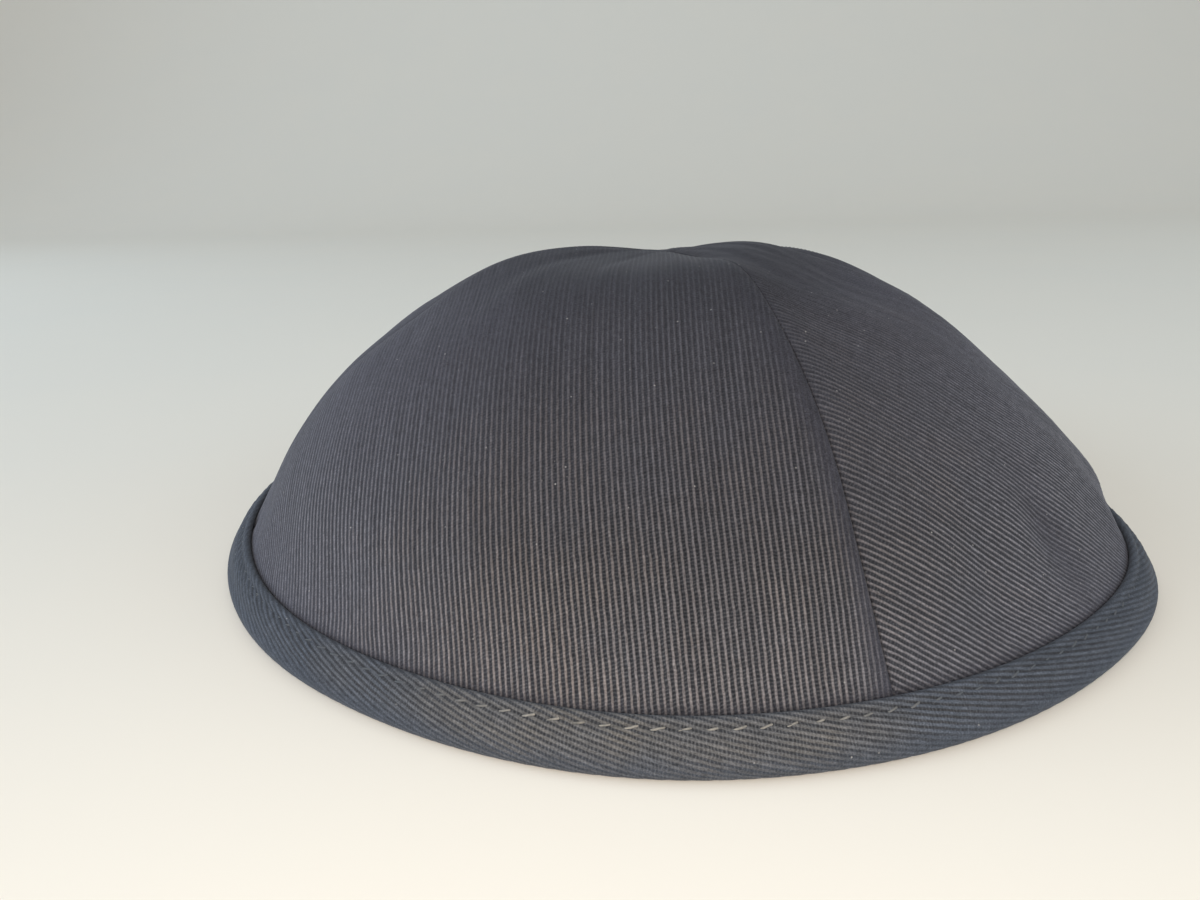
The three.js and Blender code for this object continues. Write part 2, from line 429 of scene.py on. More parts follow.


# Twill: narrow light ribs over dark valleys that short crossing yarns bridge. The weave attribute's
# x counts ribs, y is millimetres along them and z marks painted shade; press marks flattened ones, partly
# painted shade.
# Crest edges are shares of a rib's pitch from its middle
def twillMaterial(name, colours):
    material = bpy.data.materials.new(name)
    make = NodeMaker(material)
    weave = make.add("ShaderNodeAttribute", attribute_name="weave").outputs["Vector"]
    press = make.add("ShaderNodeAttribute", attribute_name="press").outputs["Fac"]
    split = make.add("ShaderNodeSeparateXYZ", {0: weave}).outputs
    rib, along, shade = split[0], split[1], split[2]
    place = make.add("ShaderNodeTexCoord").outputs["Object"]
    spread = make.add("ShaderNodeSeparateXYZ", {0: place}).outputs
    height = spread[2]
    side = make.ramp(make.math("ABSOLUTE", spread[0]), *twill["sideReach"])
    # painted shade: darker up the front, less so sideways
    paintedFrontShade = make.times(make.ramp(height, *twill["paintedShadeRise"]), make.line(side, -twill["paintedShadeSideLoss"], 1.0))
    upper = make.ramp(height, *twill["flatRise"])

    fuzz = make.noise(place, twill["fuzzScale"], 2.0, 0.7)
    wander = make.noise(make.cells(rib, along, twill["wanderCells"]), 1.0)
    shifted = make.math("ADD", rib, make.line(wander, twill["wanderWidth"], -twill["wanderWidth"] / 2))
    fromCrest = make.math("PINGPONG", shifted, 0.5)
    fray = make.line(fuzz, twill["crestFray"], -twill["crestFray"] / 2)
    inner, outer = colours["crestEdges"]
    crestMask = make.ramp(make.math("ADD", fromCrest, fray), outer, inner, smooth=True)

    crossing = make.line(shifted, twill["beadSlant"], make.math("DIVIDE", along, twill["beadPitch"]))
    crossing = make.line(wander, twill["beadWander"], crossing)
    bridge = make.line(make.math("COSINE", make.times(crossing, 2 * math.pi)), 0.5, 0.5)
    bridge = make.times(bridge, make.line(side, -twill["bridgeFade"], 1.0))

    cast = make.times(make.noise(place, twill["castScale"]), twill["castShare"])
    patch = make.times(make.noise(place, twill["patchScale"], 2.0, 0.6), 1 - twill["castShare"])
    tone = make.times(make.ramp(make.math("ADD", cast, patch), *twill["toneRange"]), twill["toneCool"])
    # painted cool light: the crests turn cooler sideways and up the crown
    paintedCoolLight = make.math("MAXIMUM", side, make.times(upper, twill["paintedCrownCool"]))
    tone = make.math("MINIMUM", make.math("ADD", tone, paintedCoolLight), 1.0)
    crest = make.mix(tone, colours["crestWarm"], colours["crestCool"])
    crest = make.scale(crest, make.line(bridge, twill["bridgeLight"], 1 - twill["bridgeLight"] / 2))
    valley = make.mix(make.times(bridge, bridge), colours["valley"], colours["bridge"])
    cloth = make.mix(crestMask, valley, crest)
    # flattening mixes in the flat grey, darker and bluer than the weave, which paints shade at the seams,
    # hem, crease and binding lip
    flatness = make.math("ADD", make.times(press, twill["pressFlat"]), make.times(upper, twill["upperFlat"]))
    cloth = make.mix(make.math("MINIMUM", flatness, twill["mostFlat"]), cloth, colours["flat"])

    streak = make.noise(make.cells(rib, along, twill["streakCells"]), 1.0, 2.0, 0.6)
    worn = make.noise(make.cells(rib, along, twill["wornCells"]), 1.0, 2.0, 0.6)
    level = make.times(
        make.ramp(streak, *twill["noiseRange"], *twill["streakLevels"]),
        make.ramp(worn, *twill["noiseRange"], *twill["wornLevels"]),
        make.ramp(fuzz, *twill["fuzzRange"], *twill["fuzzLevels"]),
        make.line(shade, -twill["shadeDepth"], 1.0),
        make.line(paintedFrontShade, -twill["paintedShadeDepth"], 1.0),
        # painted light: the cloth is made lighter sideways
        make.line(side, colours["paintedSideLight"], 1.0),
        # painted shade at the top of the crown
        make.ramp(height, *twill["paintedTopShadeRise"], 1.0, twill["paintedTopShadeLevel"]),
    )

    dust = make.add("ShaderNodeTexVoronoi", {"Vector": place, "Scale": twill["speckScale"]}).outputs
    chance = make.add("ShaderNodeSeparateColor", {0: dust["Color"]}).outputs
    speck = make.times(
        make.ramp(dust["Distance"], *twill["speckEdge"]),
        make.math("GREATER_THAN", chance[0], twill["speckless"]),
        make.times(chance[1], twill["speckStrength"]),
    )
    yarns = make.times(make.math("SUBTRACT", 1.0, crestMask), bridge)
    relief = make.math("ADD", make.times(yarns, twill["yarnRelief"]), make.times(fuzz, twill["fuzzRelief"]))
    make.surface({
        "Base Color": make.mix(speck, make.scale(cloth, level), twill["speckColour"]),
        "Roughness": make.ramp(crestMask, 0.0, 1.0, *twill["roughness"]),
        "IOR": 1.45,
        "Specular IOR Level": 0.2,
        "Sheen Weight": 0.08,
        "Sheen Roughness": 0.45,
        "Sheen Tint": (0.75, 0.82, 0.95, 1),
    }, {**twill["bump"], "Height": relief})
    return material


panelCloth = twillMaterial("panelTwill", {
    "paintedSideLight": 0.32,
    "crestEdges": (0.08, 0.3),
    "crestWarm": (0.172, 0.154, 0.153, 1),
    "crestCool": (0.137, 0.138, 0.159, 1),
    "valley": (0.022, 0.024, 0.03, 1),
    "bridge": (0.054, 0.057, 0.065, 1),
    "flat": (0.052, 0.053, 0.07, 1),
})
bindingCloth = twillMaterial("bindingTwill", {
    "paintedSideLight": 0.0,
    "crestEdges": (0.16, 0.36),
    "crestWarm": (0.122, 0.118, 0.115, 1),
    "crestCool": (0.076, 0.09, 0.117, 1),
    "valley": (0.032, 0.034, 0.04, 1),
    "bridge": (0.074, 0.078, 0.086, 1),
    "flat": (0.05, 0.061, 0.083, 1),
})
print("cloth finishes made")

panelPiece = {
    "twillPitch": 0.7735,
    "twillLean": {"front": -27.0, "right": -23.0, "back": -24.0, "left": -24.0},
    # how far the blocked cloth's ribs bow, per 100 mm: by x squared, x times y and y squared
    "twillBow": {
        "front": (0.03, 0.03, 0.05), "right": (-0.23, -0.15, -0.07), "back": (0, 0, 0), "left": (0, 0, 0),
    },
    "bowRounds": 12,
    "samplesPerRib": 6,
    "samplesAlong": 70,
    "samplesInside": 10,
    "outlineSamples": 2500,
    "lineMargin": 0.2,  # the outermost rib lines keep this share of a step from the outline's ends
    "crowding": 2.0,  # how strongly the samples gather at the ends of a rib
    "ribHeight": 0.13,
    "tipGap": 0.02,
    "seamClearance": 0.02,
    "tipShare": 0.7,  # the most of the radius that the clearance takes near the tip
    "grooveDepth": 0.75,
    "coverFade": 1.5,  # millimetres over which the cloth's relief ends under the binding
    "tuck": 0.1,  # each face draws this much towards the other there
    "leftPower": 1.5,  # power of the azimuth's sine by which the cloth turns left
    "allowanceHeight": 0.8,  # the turned-in edges stand out this far on the inside
    "allowanceWidth": 5.0,
    "allowanceHem": (2, 3),  # they begin above the hem and grow over a span
    "crease": (48, 0.885, 3.2, 0.09),  # flattened, shaded streak: azimuth, place, half width, length
}

# Both edges sink by an exponential of one depth and reach, and end in a rounded lip of their own width,
# as deep as the groove less their short, so the start side's rib ends stand over the end side
seamForm = {"sink": 0.6, "reach": 1.5, "startShort": 0.6, "endShort": 0.3, "startLip": 0.3, "endLip": 0.45}

# The groove and the ribs' relief over a panel: amount lost with its reach, or least share, distance from
# the crown's centre and span
panelRelief = {
    "grooveHem": (0.4, 6),
    "grooveCrown": (0.4, 6, 22),
    "ribEndSeam": (0.7, 2.2),
    "ribCrown": (0.3, 14, 28),
    "ribLeft": 0.65,
}

# Amounts with half widths in millimetres
shading = {"towardsEnd": (0.2, 3.5), "seamLine": (0.3, 0.3), "hem": (0.75, 0.6), "crease": 0.4}
pressing = {
    "endSeam": (0.95, 2.6),
    "startSeam": (0.15, 0.6),
    "hem": (0.5, 0.9),
    "sideHem": (0.45, 9),
    "sideways": (0.3, 1.5),  # amount and power of the azimuth's sine
    "crease": 0.5,
    "crown": (0.7, 16, 20),  # amount, distance from the crown's centre and span of its end
    "left": 0.45,
}


# Quadratic in the two flat directions
def bowOf(x, y, bow):
    return (bow[0] * x * x + bow[1] * x * y + bow[2] * y * y) / 100


# Flat cut to cloth: the ribs' bow is taken out in a few rounds, then the distance from the tip stays
# and each level is an arc of its true length
def patternToCloth(across, along, lean, bow):
    x = across * math.cos(lean) - along * math.sin(lean)
    y = across * math.sin(lean) + along * math.cos(lean)
    for _ in range(panelPiece["bowRounds"]):
        straight = across - bowOf(x, y, bow)
        x = straight * math.cos(lean) - along * math.sin(lean)
        y = straight * math.sin(lean) + along * math.cos(lean)
    distance = np.hypot(x, y)
    radius = np.maximum(meridianAt(distance)[0], 1e-6)
    return distance, np.degrees(np.arctan2(x, y) * distance / radius)


# Cloth to flat cut: an arc's angle is its true length over the distance from the tip
def clothToPattern(distance, offCentre, lean, bow):
    bend = np.radians(offCentre) * meridianAt(distance)[0] / np.maximum(distance, 1e-6)
    x, y = distance * np.sin(bend), distance * np.cos(bend)
    across = x * math.cos(lean) + y * math.sin(lean) + bowOf(x, y, bow)
    return across, y * math.cos(lean) - x * math.sin(lean)


# Lower and upper end of each rib line inside the panel's outline: two seams and the hem, unrolled
def ribEnds(lean, bow):
    samples = panelPiece["outlineSamples"]
    distance = np.linspace(panelPiece["tipGap"], hemLength, samples)
    clearance = np.minimum(panelPiece["seamClearance"] / meridianAt(distance)[0], panelPiece["tipShare"])
    edge = panelAngle / 2 - np.degrees(np.arcsin(clearance))
    hem = np.linspace(-1, 1, samples) * edge[-1]
    outline = np.concatenate([
        np.stack(clothToPattern(distance, -edge, lean, bow), 1),
        np.stack(clothToPattern(np.full(hem.shape, hemLength), hem, lean, bow), 1)[1:-1],
        np.stack(clothToPattern(distance, edge, lean, bow), 1)[::-1],
    ])
    first, last = outline[:, 0].argmin(), outline[:, 0].argmax()
    outline = np.roll(outline, -first, axis=0)
    last = (last - first) % len(outline)
    chains = [outline[: last + 1], np.concatenate([outline[last:], outline[:1]])[::-1]]
    step, margin = panelPiece["twillPitch"] / panelPiece["samplesPerRib"], panelPiece["lineMargin"]
    firstLine = math.ceil(outline[0, 0] / step + margin)
    lastLine = math.floor(outline[last, 0] / step - margin)
    lines = np.arange(firstLine, lastLine + 1) * step
    across = np.concatenate([[outline[0, 0]], lines, [outline[last, 0]]])
    ends = np.stack([np.interp(across, np.maximum.accumulate(side[:, 0]), side[:, 1]) for side in chains])
    return across, ends.min(0), ends.max(0)


# Samples from one end of a rib to the other, gathered at both ends by a hyperbolic tangent
def ribSamples(low, high, count):
    spread = np.tanh(np.linspace(-1, 1, count) * panelPiece["crowding"]) / math.tanh(panelPiece["crowding"])
    return (low + high)[:, None] / 2 + (high - low)[:, None] / 2 * spread


ribForm = {"power": 1.8, "sink": 0.4, "unevenness": 0.18, "kinds": 1000, "seed": 11}


# Narrow rounded crest over a wide valley: a cosine raised to a power, less a constant
def ribRelief(phase):
    return (0.5 + 0.5 * np.cos(2 * math.pi * phase)) ** ribForm["power"] - ribForm["sink"]


# Each rib stands a little more or less high than the next, by a normal spread
def ribHeights(phase):
    random = np.random.default_rng(ribForm["seed"])
    heights = 1 + ribForm["unevenness"] * random.standard_normal(ribForm["kinds"])
    return heights[np.round(phase).astype(int) % ribForm["kinds"]]


# Quarter circle that climbs from 0 at the roll's width to 1 at the seam
def rollOff(distance, width):
    return 1 - np.sqrt(1 - (1 - climb(distance, 0, width)) ** 2)


# Sine waves: height in millimetres, waves round the cap, radians they drift by down the slope, phase
slowWaves = [(0.16, 5, 7, 0.6), (0.12, 9, -5, 2.1), (0.07, 17, 4, 0), (0.05, 29, -9, 1.3)]
hemWaves = [(0.13, 23, 0, 0.8), (0.1, 37, 0, 2.2)]
# Shares of the slope over which they fade: slow ones at the crown and the hem, then the hem's own
waveFade = {"crown": 0.2, "hem": 0.1, "gather": 0.13, "gatherHem": 0.03}


# Sum of a table's sines at an azimuth and a share of the slope
def sumOfWaves(waves, turn, level):
    return sum(height * np.sin(count * turn + drift * level + phase) for height, count, drift, phase in waves)


# Slow unevenness of worn cloth, with a second set of waves just above the binding
def clothWaves(distance, azimuth):
    turn, level = np.radians(azimuth), distance / slopeLength
    left = 1 - level
    slow = sumOfWaves(slowWaves, turn, level)
    slow = slow * climb(level, 0, waveFade["crown"]) * climb(left, 0, waveFade["hem"])
    gather = sumOfWaves(hemWaves, turn, level)
    return slow + gather * bell(left, waveFade["gather"]) * climb(left, 0, waveFade["gatherHem"])


# Exponential dips of both edges plus their rounded lips
def seamOffset(fromStart, fromEnd, depth):
    dips = seamForm["sink"] * (np.exp(-fromStart / seamForm["reach"]) + np.exp(-fromEnd / seamForm["reach"]))
    startLip = (depth - seamForm["startShort"]) * rollOff(fromStart, seamForm["startLip"])
    endLip = (depth - seamForm["endShort"]) * rollOff(fromEnd, seamForm["endLip"])
    return -dips - startLip - endLip


# Where the samples of a face lie: distance from the crown, azimuth, millimetres from both seams and the
# hem, how far they are under the binding or to the left, their share of the crease, and the slow waves
def placeOnPanel(lines, along, lean, bow, startAzimuth):
    distance, offCentre = patternToCloth(lines, along, lean, bow)
    distance = np.clip(distance, panelPiece["tipGap"], hemLength)
    azimuth = startAzimuth + panelAngle / 2 + offCentre
    radius, sine = meridianAt(distance)[0], np.sin(np.radians(azimuth))
    creaseAzimuth, creasePlace, creaseHalf, creaseLength = panelPiece["crease"]
    crease = bell(turned(azimuth, creaseAzimuth), creaseHalf)
    return {
        "phase": lines / panelPiece["twillPitch"],
        "distance": distance,
        "azimuth": azimuth,
        "sine": sine,
        "leftward": np.clip(-sine, 0, 1) ** panelPiece["leftPower"],
        "fromStart": radius * np.radians(np.maximum(panelAngle / 2 + offCentre, 0)),
        "fromEnd": radius * np.radians(np.maximum(panelAngle / 2 - offCentre, 0)),
        "aboveHem": np.maximum(slopeLength - distance, 0),
        "covered": climb(distance, slopeLength, panelPiece["coverFade"]),
        "crease": crease * bell(distance / slopeLength - creasePlace, creaseLength),
        "waves": clothWaves(distance, azimuth),
    }


# Outer face: waves and sunk seams, plus the ribs, which are calmer at the end seam, the crown and the left
def outerOffset(place):
    bare = 1 - place["covered"]
    hemLoss, hemReach = panelRelief["grooveHem"]
    depth = panelPiece["grooveDepth"] * bare * (1 - hemLoss * (1 - climb(place["aboveHem"], 0, hemReach)))
    depth = depth * grown(*panelRelief["grooveCrown"], place["distance"])
    seams = seamOffset(place["fromStart"], place["fromEnd"], depth) * bare
    standing = bare * (1 - bellOf(panelRelief["ribEndSeam"], place["fromEnd"]))
    standing = standing * grown(*panelRelief["ribCrown"], place["distance"])
    standing = standing * (1 - panelRelief["ribLeft"] * place["leftward"])
    ribs = panelPiece["ribHeight"] * ribHeights(place["phase"]) * ribRelief(place["phase"])
    return seams + place["waves"] + ribs * standing - panelPiece["tuck"] * place["covered"]


# Inner face: the same waves one thickness deeper, with the turned-in edges standing out along the seams
def innerOffset(place):
    nearSeam = np.minimum(place["fromStart"], place["fromEnd"]) / panelPiece["allowanceWidth"]
    ridge = panelPiece["allowanceHeight"] * np.exp(-(nearSeam**4))
    ridge = ridge * climb(place["aboveHem"], *panelPiece["allowanceHem"])
    return place["waves"] - capForm["panelThickness"] - ridge + panelPiece["tuck"] * place["covered"]


# The darkest of the seams' shade, the hem's and the crease's
def shadeOf(place):
    amount, reach = shading["towardsEnd"]
    nearSeam = np.minimum(place["fromStart"], place["fromEnd"])
    seams = amount * np.exp(-place["fromEnd"] / reach) + bellOf(shading["seamLine"], nearSeam)
    hem = bellOf(shading["hem"], place["aboveHem"])
    return np.maximum(np.maximum(seams, hem), shading["crease"] * place["crease"])


# Sum of what flattens the ribs into the darker, bluer flat grey, up to 1: seams, hem, sides, crease, crown
# and left. At the seams, the hem and the crease this is painted shade
def pressOf(place):
    sideways, power = pressing["sideways"]
    crown, start, span = pressing["crown"]
    press = bellOf(pressing["endSeam"], place["fromEnd"]) + bellOf(pressing["startSeam"], place["fromStart"])
    press = press + bellOf(pressing["hem"], place["aboveHem"]) + sideways * np.abs(place["sine"]) ** power
    press = press + pressing["crease"] * place["crease"] + crown * (1 - climb(place["distance"], start, span))
    press = press + place["sine"] ** 2 * bellOf(pressing["sideHem"], place["aboveHem"])
    return np.clip(press + pressing["left"] * place["leftward"], 0, 1)


# Both faces are sampled along the same ribs, set on the smooth cloth and moved along its normal
def makePanel(name, startAzimuth):
    lean, bow = math.radians(panelPiece["twillLean"][name]), panelPiece["twillBow"][name]
    across, low, high = ribEnds(lean, bow)
    faces = []
    for samples, offsetOf in (("samplesAlong", outerOffset), ("samplesInside", innerOffset)):
        along = ribSamples(low, high, panelPiece[samples])
        place = placeOnPanel(np.broadcast_to(across[:, None], along.shape), along, lean, bow, startAzimuth)
        point = clothPoint(place["distance"], place["azimuth"])
        normal = clothNormal(place["distance"], place["azimuth"])
        weave = np.stack([place["phase"], along, shadeOf(place), pressOf(place)], -1)
        faces.append((point + offsetOf(place)[..., None] * normal, weave))
    return joinShell(f"twill_panel_{name}", faces, f"panel_{name}")


# Outer and inner grid on the same rib lines, joined along both ends of every rib
def joinShell(name, faces, node):
    (outer, outerWeave), (inner, innerWeave) = faces
    outerIndex = gridNumbers(outer.shape[:2])
    innerIndex = gridNumbers(inner.shape[:2], outerIndex.size)
    merge = np.arange(outerIndex.size + innerIndex.size)
    for index in (outerIndex, innerIndex):
        for line in (0, -1):
            merge[index[line]] = index[line, 0]
    walls = [
        gridTriangles(np.stack([innerIndex[:, 0], outerIndex[:, 0]], 1)),
        gridTriangles(np.stack([outerIndex[:, -1], innerIndex[:, -1]], 1)),
    ]
    triangles = np.concatenate([gridTriangles(outerIndex), gridTriangles(innerIndex)[:, ::-1], *walls])
    points = np.concatenate([outer.reshape(-1, 3), inner.reshape(-1, 3)])
    weave = np.concatenate([outerWeave.reshape(-1, 4), innerWeave.reshape(-1, 4)])
    piece = makePiece(name, points, triangles, panelCloth, weave, merge)
    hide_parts(node)
    return piece


panels = [makePanel(name, capForm["seamAzimuth"] + k * panelAngle) for k, name in enumerate(panelNames)]

# Drops are lengths round the section from the top of the outer lip
bindingPiece = {
    "ribsRound": 200,
    "samplesPerRib": 6,
    "lipSamples": 7,
    "faceSamples": 15,
    "foldSamples": 16,
    "insideSamples": 11,
    "ribHeight": 0.1,
    "ribCalm": 0.75,  # share of the ribs' height that is lost underneath, and at the sides
    "twillLean": 15.0,  # ribs fall this much to the right, seen from outside
    "twillStart": 0.45,  # share of the girth at which the count of ribs starts
    "lipClearance": 0.16,  # the lip hugs the panel closer than the channel below it
    "lipReach": 1.2,
    "lipRise": 0.5,  # the face's relief grows over this drop
    "bottom": (7.0, 1.7),  # drop and half width of the flattened underside
    "inside": (8.5, 2),  # drop at which the inside's relief begins, and its span
    "floorGap": 0.02,
    "stitchPitch": 3.19,
    "stitchDrop": 1.6,
    "stitchSink": 0.3,
    "stitchHalf": 0.42,
    "beatShare": 0.2,
    "puff": 0.28,
    "puffLength": 3.2,
    "puffPower": 0.8,
    "puffLevels": (0.75, 0.35),
    "slowWaves": (31, 13),
    "pucker": (0.07, 1.3),  # height and half width, at its own drop
    "puckerDrop": 2.4,
    "lineShade": (0.3, 0.3),
    "lipShade": (0.3, 0.6),
    "bottomPress": 0.8,
    "lipPress": (0.5, 1.3),
    "sidePress": 0.85,
}
stitchCount = round(2 * math.pi * rimRadius / bindingPiece["stitchPitch"])


# Binding's section as a closed loop of (out, along) points: over the outer lip, down its face, round
# the fold, up the inner face, over the inner lip and back through the channel, which is hidden
def bindingLoop():
    half = capForm["bindingThickness"] / 2
    middle = channelHalf + half
    outerTop, innerTop = outerLeafLength - half, innerLeafLength - half
    faceSamples, insideSamples = bindingPiece["faceSamples"], bindingPiece["insideSamples"]
    turn = np.linspace(0, math.pi, bindingPiece["lipSamples"])
    back = turn[1:]
    swing = np.linspace(0, math.pi, bindingPiece["foldSamples"] + 1)[1:]
    shown = [
        np.stack([middle - half * np.cos(turn), outerTop + half * np.sin(turn)], 1),
        np.stack([np.full(faceSamples, foldRadius), np.linspace(outerTop, 0, faceSamples + 1)[1:]], 1),
        np.stack([foldRadius * np.cos(swing), -foldRadius * np.sin(swing)], 1),
        np.stack([np.full(insideSamples, -foldRadius), np.linspace(0, innerTop, insideSamples + 1)[1:]], 1),
        np.stack([-middle - half * np.cos(back), innerTop + half * np.sin(back)], 1),
    ]
    channel = [
        np.stack([np.full(2, -channelHalf), np.linspace(innerTop, 0, 3)[1:]], 1),
        np.stack([-channelHalf * np.cos(back), -channelHalf * np.sin(back)], 1),
        np.stack([np.full(2, channelHalf), np.linspace(0, outerTop, 4)[1:3]], 1),
    ]
    return np.concatenate(shown + channel), sum(len(part) for part in shown)


# Relief along the band: a dip at the stitch line, fullness below it, and small puckers between stitches
def bandRelief(drop, around):
    turn = around / rimRadius
    beat = np.cos(stitchCount * turn)
    fromLine = drop - bindingPiece["stitchDrop"]
    low, high = bindingPiece["puffLevels"]
    many, few = bindingPiece["slowWaves"]
    slow = 0.5 + 0.5 * np.sin(many * turn + 1.0) * np.sin(few * turn)
    swell = np.sin(math.pi * climb(fromLine, 0, bindingPiece["puffLength"])) ** bindingPiece["puffPower"]
    pucker = beat * bellOf(bindingPiece["pucker"], drop - bindingPiece["puckerDrop"])
    dip = bindingPiece["stitchSink"] * bell(fromLine, bindingPiece["stitchHalf"])
    dip = dip * (1 - bindingPiece["beatShare"] + bindingPiece["beatShare"] * beat)
    return bindingPiece["puff"] * swell * (low + high * slow) + pucker - dip


# Section turned to its place, moved out along its own normal by the band's relief and the ribs
def makeBinding():
    loop, shown = bindingLoop()
    step = np.linalg.norm(np.diff(loop, axis=0), axis=1)
    drop = np.concatenate([[0], np.cumsum(step)]) - 0.5 * math.pi * capForm["bindingThickness"] / 2
    tangent = np.gradient(loop, axis=0)
    normal = np.stack([-tangent[:, 1], tangent[:, 0]], 1)
    normal /= np.linalg.norm(normal, axis=1, keepdims=True)
    ribs, samples = bindingPiece["ribsRound"], bindingPiece["samplesPerRib"]
    lean = math.radians(bindingPiece["twillLean"])
    girth = 2 * math.pi * rimRadius
    # the rows shear along the ribs, and the hidden channel takes the shear back
    shear = drop / math.tan(lean)
    hidden = climb(np.arange(len(loop)), shown - 1, len(loop) - shown + 1)
    shear = np.where(hidden > 0, shear[shown - 1] * (1 - hidden) + shear[0] * hidden, shear)
    start = np.arange(ribs * samples)[:, None] / (ribs * samples) * girth
    around = start + shear + girth * bindingPiece["twillStart"]
    drops = np.broadcast_to(drop, around.shape)

    bare = hidden == 0
    onInside = climb(drops, *bindingPiece["inside"])
    fromInnerLip = drop[shown - bindingPiece["lipSamples"]] - drops
    relief = np.where(onInside > 0, bandRelief(fromInnerLip, around) * onInside, bandRelief(drops, around))
    bottomDrop, bottomHalf = bindingPiece["bottom"]
    underneath = bell(drops - bottomDrop, bottomHalf)
    sideways = np.sin(around / rimRadius) ** 2
    calm = (1 - bindingPiece["ribCalm"] * underneath) * (1 - bindingPiece["ribCalm"] * sideways)
    ribPhase = np.broadcast_to(np.arange(ribs * samples)[:, None] / samples, around.shape)
    ribRise = bindingPiece["ribHeight"] * ribRelief(ribPhase) * calm
    rise = climb(drops, 0, bindingPiece["lipRise"]) * bare * (relief * (1 - underneath) + ribRise)
    hug = bindingPiece["lipClearance"] * (1 - climb(drops, 0, bindingPiece["lipReach"]))

    section = rimPoint(loop[:, 1] + normal[:, 1] * rise, loop[:, 0] + normal[:, 0] * rise - 2 * hug)
    height = np.clip(section[..., 1], 0, None) + bindingPiece["floorGap"] * (section[..., 1] <= 0)
    points = spun(section[..., 0], height, np.degrees(around / rimRadius))
    index = gridNumbers(around.shape)
    index = np.concatenate([index, index[:1]], 0)
    index = np.concatenate([index, index[:, :1]], 1)
    lipShade, lipShadeReach = bindingPiece["lipShade"]
    lipPress, lipPressReach = bindingPiece["lipPress"]
    shade = bellOf(bindingPiece["lineShade"], drops - bindingPiece["stitchDrop"])
    shade = (shade + lipShade * (1 - climb(drops, 0, lipShadeReach))) * bare
    # at the lip the flattening into the darker flat grey is painted shade under the panel's hem
    press = bindingPiece["bottomPress"] * underneath + lipPress * (1 - climb(drops, 0, lipPressReach))
    press = np.clip(press + bindingPiece["sidePress"] * sideways, 0, 1)
    ribAlong = around * math.cos(lean) + drops * math.sin(lean)
    weave = np.stack([ribPhase, ribAlong, shade, press], -1).reshape(-1, 4)
    triangles = gridTriangles(index)
    piece = makePiece("twill_binding", points.reshape(-1, 3), triangles, bindingCloth, weave)
    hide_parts("rim_binding")
    return piece


binding = makeBinding()

threadPiece = {
    "length": 2.9,
    "radius": 0.185,
    "slant": 15.0,
    "sides": 6,
    "rings": 7,
    "seed": 5,
    "spread": 0.05,  # of slants in radians and of lengths as shares
    "depths": (-0.02, 0.05),  # each stitch sinks by its own depth between these
    "sideDepth": 0.14,  # and this much deeper at the cap's two sides
    "lift": 0.12,
    "arch": 0.3,
    "taper": 0.85,
}

threadFinish = {
    "dull": (0.135, 0.133, 0.126, 1),
    "pale": (0.32, 0.306, 0.28, 1),
    "side": (0.075, 0.085, 0.1, 1),
    "sideReach": (0.012, 0.034),  # metres sideways from the middle
    "unevenScale": 900,  # per metre
    "twistScale": 7000,
    "bump": {"Strength": 0.5, "Distance": 0.00004},
}


# Sewing thread: warm grey cotton with a faint twist, cooler and darker sideways from the front
def threadMaterial():
    material = bpy.data.materials.new("sewingThread")
    make = NodeMaker(material)
    place = make.add("ShaderNodeTexCoord").outputs["Object"]
    uneven = make.ramp(make.noise(place, threadFinish["unevenScale"], 2.0, 0.6), 0.3, 0.7)
    colour = make.mix(uneven, threadFinish["dull"], threadFinish["pale"])
    sideways = make.math("ABSOLUTE", make.add("ShaderNodeSeparateXYZ", {0: place}).outputs[0])
    colour = make.mix(make.ramp(sideways, *threadFinish["sideReach"]), colour, threadFinish["side"])
    twist = {**threadFinish["bump"], "Height": make.noise(place, threadFinish["twistScale"])}
    make.surface({"Base Color": colour, "Roughness": 0.7, "Specular IOR Level": 0.3}, twist)
    return material


